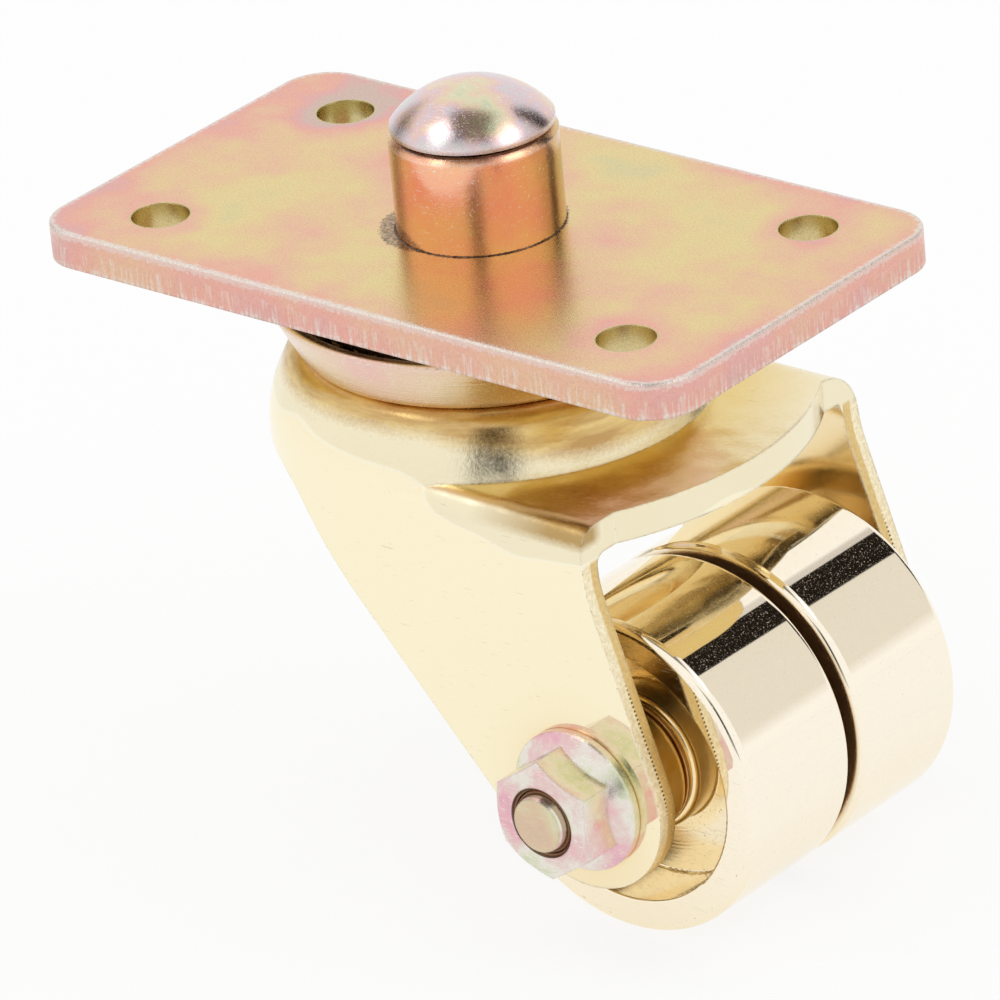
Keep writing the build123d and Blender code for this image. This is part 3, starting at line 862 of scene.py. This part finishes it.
# %% [markdown]
# ## Chromate on the tower, the dome, the cup and the hardware
#
# The same bath gives each piece its own colours, because the film grows with how long the liquid
# clings. The headed pin stayed pale, and the small nut came out nearly clear with pink and green
# clouds. The turned sleeve gets a painted reflection, pink on one side and olive round the back, and
# round the bolt's end painted shade lies in the nut's mouth. One function dresses all four, so that
# they keep the grain of one bath, and each call names what differs.

# %% Colours of the dome and the hardware
DOME_COLOURS = [
    (0.00, "#c7cfa9"),
    (0.25, "#ded9ae"),
    (0.42, "#e9cdaa"),
    (0.58, "#e8bfb6"),
    (0.75, "#d9c2cd"),
    (1.00, "#cdcfc9"),
]
HARDWARE_COLOURS = [
    (0.00, "#bccb9c"),
    (0.20, "#d8dcbc"),
    (0.36, "#eae4da"),
    (0.52, "#e4cbc4"),
    (0.72, "#e9adba"),
    (1.00, "#d2a2b6"),
]


def painted_side_reflection(add, place, painted_bright_reflection, painted_dark_reflection):
    """A painted reflection round the sleeve: pink on the side towards -60 degrees, olive round the
    back, standing in for the light and dark parts of the room that the sleeve mirrors."""
    outward = add("VectorMath", [place, (1, 1, 0)], operation="MULTIPLY")
    outward = add("VectorMath", [outward], operation="NORMALIZE")
    toward = add("VectorMath", [outward, direction(-60, 0)], operation="DOT_PRODUCT")
    return add("Mix", [add("MapRange", [toward, 0.2, 0.8]), painted_dark_reflection, painted_bright_reflection], data_type="RGBA")


def mouth_shade_and_film(add, place, tint):
    """Painted shade in the thread round the bolt's end, a darker painted shadow line where it meets
    the nut, and a yellower film on the bolt's point. All three lie in the nut's mouth only."""
    reach = from_axle(add, place)
    along = add("SeparateXYZ", [place]).outputs["Y"]
    at_mouth = add("MapRange", [along, nut_low.y + 1.6 * MM, nut_low.y + 1.4 * MM])
    # Painted shade in the thread, a painted shadow line at the nut, then the yellower film.
    for mask, strength, colour in (
        (between(add, reach, 3.5 * MM, 4.38 * MM, 0.04 * MM), 0.8, "#a88c6c"),
        (between(add, reach, 4.18 * MM, 4.38 * MM, 0.04 * MM), 0.8, "#4d3d30"),
        (add("MapRange", [reach, 3.4 * MM, 3.3 * MM]), 0.55, "#cfc78a"),
    ):
        mask = add("Math", [mask, at_mouth], operation="MULTIPLY")
        tint = painted(add, tint, mask, strength, colour)
    return tint


print("dome and hardware colours:", len(DOME_COLOURS), len(HARDWARE_COLOURS))

# %% Finishes of the tower, dome, cup and hardware
def chromate_finish(
    name,
    warm,
    warm_share,
    lump_mm,
    seed,
    rough,
    colours=FILM_COLOURS,
    painted_dark_reflection=None,
    edge_mm=0.35,
    brush_mm=None,
):
    """A bright, coloured film on a turned or pressed steel piece, drawn towards one warm
    colour. Its edges and scuffs shine silver."""
    material, add, shader, place = start_material(name)
    film = add("ValToRGB", [chromate_film(add, place, lump_mm, seed)], stops=colours)
    # A painted reflection: the tone turns from pink to olive round the piece's axis.
    if painted_dark_reflection:
        warm = painted_side_reflection(add, place, warm, painted_dark_reflection)
    tint = add("Mix", [warm_share, film, warm], data_type="RGBA")
    hairlines = scratches(add, place, [(2.4, 0.10, 0.4, 0.69), (1.8, 0.09, 1.9, 0.695)])
    rounded = add("Bevel", [edge_mm * MM], samples=2)
    chipped = patches(add, place, 0.5, 0.4, 0.52)
    worn = add("Math", [edge_mask(add, rounded), chipped], operation="MULTIPLY")
    speck = patches(add, place, 0.45, 0.64, 0.7, detail=2.0)
    bright = add("Math", [speck, hairlines], operation="MAXIMUM")
    bright = add("Math", [bright, worn], operation="MAXIMUM")
    tint = mouth_shade_and_film(add, place, painted(add, tint, bright, 0.75, "#f7f2ea"))

    grain = add("TexNoise", [place, 1 / (0.3 * MM), 3.0, 0.6])
    roughness = add("MapRange", [grain, 0.3, 0.7, rough * 0.75, rough * 1.25])
    scuffed = add("Math", [bright, 0.12], operation="MULTIPLY")
    roughness = add("Math", [roughness, scuffed], operation="ADD")
    layers = [
        (grain, 0.012, 0.7),
        (add("TexNoise", [place, 1 / (2.5 * MM), 1.0]), 0.05, 0.6),
        (hairlines, -0.006, 0.5),
    ]
    if brush_mm:
        height = add("SeparateXYZ", [place]).outputs["Z"]
        turned = add("CombineXYZ", [from_swivel(add, place), height])
        layers.append((add("TexNoise", [turned, 1 / (brush_mm * MM), 3.0, 0.7]), 0.03, 0.8))
    finish_metal(shader, tint, roughness, in_relief(add, rounded, layers))
    return material


zinc_sleeve = chromate_finish(
    "orange zinc chromate on turned sleeve",
    warm="#ffb692",
    warm_share=0.75,
    lump_mm=9.0,
    seed=0.012,
    rough=0.16,
    # olive as a painted reflection round the sleeve's back
    painted_dark_reflection="#d6ad66",
    edge_mm=0.8,
)
zinc_pin = chromate_finish(
    "pale zinc chromate on headed pin",
    warm="#e2dfda",
    warm_share=0.20,
    lump_mm=6.5,
    seed=0.047,
    rough=0.19,
    colours=DOME_COLOURS,
    edge_mm=0.8,
)
zinc_cup = chromate_finish(
    "pale zinc chromate on pressed cup",
    warm="#ead0c4",
    warm_share=0.60,
    lump_mm=14.0,
    seed=0.023,
    rough=0.20,
    brush_mm=0.3,
)
zinc_hardware = chromate_finish(
    "clear zinc chromate on cold-formed nut",
    warm="#e6e0d6",
    warm_share=0.15,
    lump_mm=9.0,
    seed=0.133,
    rough=0.15,
    colours=HARDWARE_COLOURS,
)
print("zinc finishes:", zinc_sleeve.name, "/", zinc_pin.name, "/", zinc_cup.name)
print("and", zinc_hardware.name)

# %% [markdown]
# ## Metals inside
#
# Nobody sees the race, the bushes or the tube until the castor is taken apart, but they
# catch light through the gaps. Hardened steel is ground grey and holds a film of brown
# grease, and the bushes are sintered bronze.

# %% Inner finishes
def inner_finish(name, light, dark, rough_low, rough_high):
    """A dull metal in two close tones, which keeps the gaps from looking empty."""
    material, add, shader, place = start_material(name)
    cloud = add("MapRange", [add("TexNoise", [place, 1 / (3.0 * MM), 3.0]), 0.35, 0.7])
    tint = add("Mix", [cloud, light, dark], data_type="RGBA")
    grain = add("TexNoise", [place, 1 / (0.25 * MM), 2.0])
    rough = add("MapRange", [grain, 0.3, 0.7, rough_low, rough_high])
    finish_metal(shader, tint, rough, in_relief(add, None, [(grain, 0.006, 0.4)]))
    return material


hard_steel = inner_finish("ground bearing steel under grease", "#8d8479", "#5c4a3a", 0.22, 0.40)
bronze = inner_finish("sintered bronze", "#e0b878", "#c99a58", 0.28, 0.42)
oily_zinc = inner_finish("crushed zinc under press oil", "#8d7565", "#4a3c33", 0.35, 0.60)
print(hard_steel.name, "/", bronze.name, "/", oily_zinc.name)

# %% [markdown]
# ## Thread on the bolt's end
#
# The photograph shows the bolt's point standing in the nut's mouth, with the first turns of
# its M8 thread catching the light. A helix of real thread would cost thousands of faces
# nobody sees, so only the turns in the mouth are made. A small ridge with sloping sides and
# a flat crest is swept round the axle with a spin that also advances by the pitch.

# %% Bolt thread
THREAD_PITCH = 1.25 * MM  # the coarse pitch of an M8 thread
THREAD_CREST, THREAD_FOOT = 3.72 * MM, 3.15 * MM  # radii of the ridge's top and bottom
THREAD_TURNS = 1.6
THREAD_STEPS = 96  # for each turn


def build_bolt_thread():
    """A ridge round the bolt's point, swept with the axle as its centre."""
    start_y = nut_low.y - 0.15 * MM
    shape = bmesh.new()
    corners = [(THREAD_FOOT, 0.0), (THREAD_CREST, 0.30), (THREAD_CREST, 0.42), (THREAD_FOOT, 0.72)]
    ring = [shape.verts.new((axle_x + r, start_y + y * MM, axle_z)) for r, y in corners]
    shape.faces.new(ring)
    bmesh.ops.spin(
        shape,
        geom=shape.faces[:],
        cent=(axle_x, 0, axle_z),
        axis=(0, 1, 0),
        dvec=(0, THREAD_PITCH / THREAD_STEPS, 0),
        angle=2 * math.pi * THREAD_TURNS,
        steps=int(THREAD_STEPS * THREAD_TURNS),
        use_merge=False,
    )
    bmesh.ops.remove_doubles(shape, verts=shape.verts, dist=1e-7)
    bmesh.ops.recalc_face_normals(shape, faces=shape.faces)
    thread = object_from("bolt_thread", shape, zinc_hardware)
    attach(thread, "fork")
    return thread


bolt_thread = build_bolt_thread()
print("thread faces:", len(bolt_thread.data.polygons))

# %% [markdown]
# ## Crushed metal at the tower's foot
#
# The sleeve is pressed into the plate, and the press shaves a thin curl of plate metal up
# round it. It is ragged, dark with oil, and heaped on one side. A low profile is spun round
# the tower, and each point is then pushed in or out by a seeded random amount.

# %% Crushed ring
RING_PROFILE = [(0.0, -0.05), (0.0, 0.08), (0.05, 0.10), (0.09, 0.05), (0.13, -0.05)]  # out, up in mm
RING_STEPS = 240


def build_press_ring():
    """A ragged bead round the sleeve where it meets the plate."""
    chance = random.Random(7)
    shape = bmesh.new()
    points = [shape.verts.new((sleeve_radius + r * MM, 0, z * MM)) for r, z in RING_PROFILE]
    edges = [shape.edges.new(pair) for pair in zip(points, points[1:])]
    bmesh.ops.spin(
        shape,
        geom=edges,
        cent=(0, 0, 0),
        axis=(0, 0, 1),
        angle=2 * math.pi,
        steps=RING_STEPS,
        use_merge=True,
    )
    bmesh.ops.remove_doubles(shape, verts=shape.verts, dist=1e-7)
    for vert in shape.verts:
        outward = Vector((vert.co.x, vert.co.y, 0)).normalized()
        heaped = max(0.0, outward.dot(SMUDGE_SIDE)) ** 6
        away = vert.co.xy.length - sleeve_radius
        push = away * (chance.uniform(-0.8, 0.8) + 1.5 * heaped)
        vert.co += outward * push
        vert.co.z += max(0.0, vert.co.z) * chance.uniform(-0.4, 0.5)
    bmesh.ops.recalc_face_normals(shape, faces=shape.faces)
    ring = object_from("press_ring", shape, oily_zinc)
    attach(ring, "plate")
    return ring


press_ring = build_press_ring()
print("ring faces:", len(press_ring.data.polygons))

# %% [markdown]
# ## Every piece gets its finish
#
# The CAD record says which finish each piece asks for. One table joins those names to the
# materials made above, so a piece that is added to the castor later is dressed by its name.

# %% Give every node its finish
FINISHES = {
    "zinc_plate": zinc_plate,
    "zinc_sleeve": zinc_sleeve,
    "zinc_pin": zinc_pin,
    "zinc_cup": zinc_cup,
    "zinc_hardware": zinc_hardware,
    "gold_fork": gold_fork,
    "gold_wheel": gold_wheel,
    "gold_collar": collar_gold,
    "hard_steel": hard_steel,
    "bearing_bronze": bronze,
}

for subpart in frame["record"]["subparts"]:
    node_object = frame["nodes"][subpart["node"]]
    if not node_object.material_slots:
        node_object.data.materials.append(None)
    for slot in node_object.material_slots:
        slot.material = FINISHES[subpart["material_slot"]]
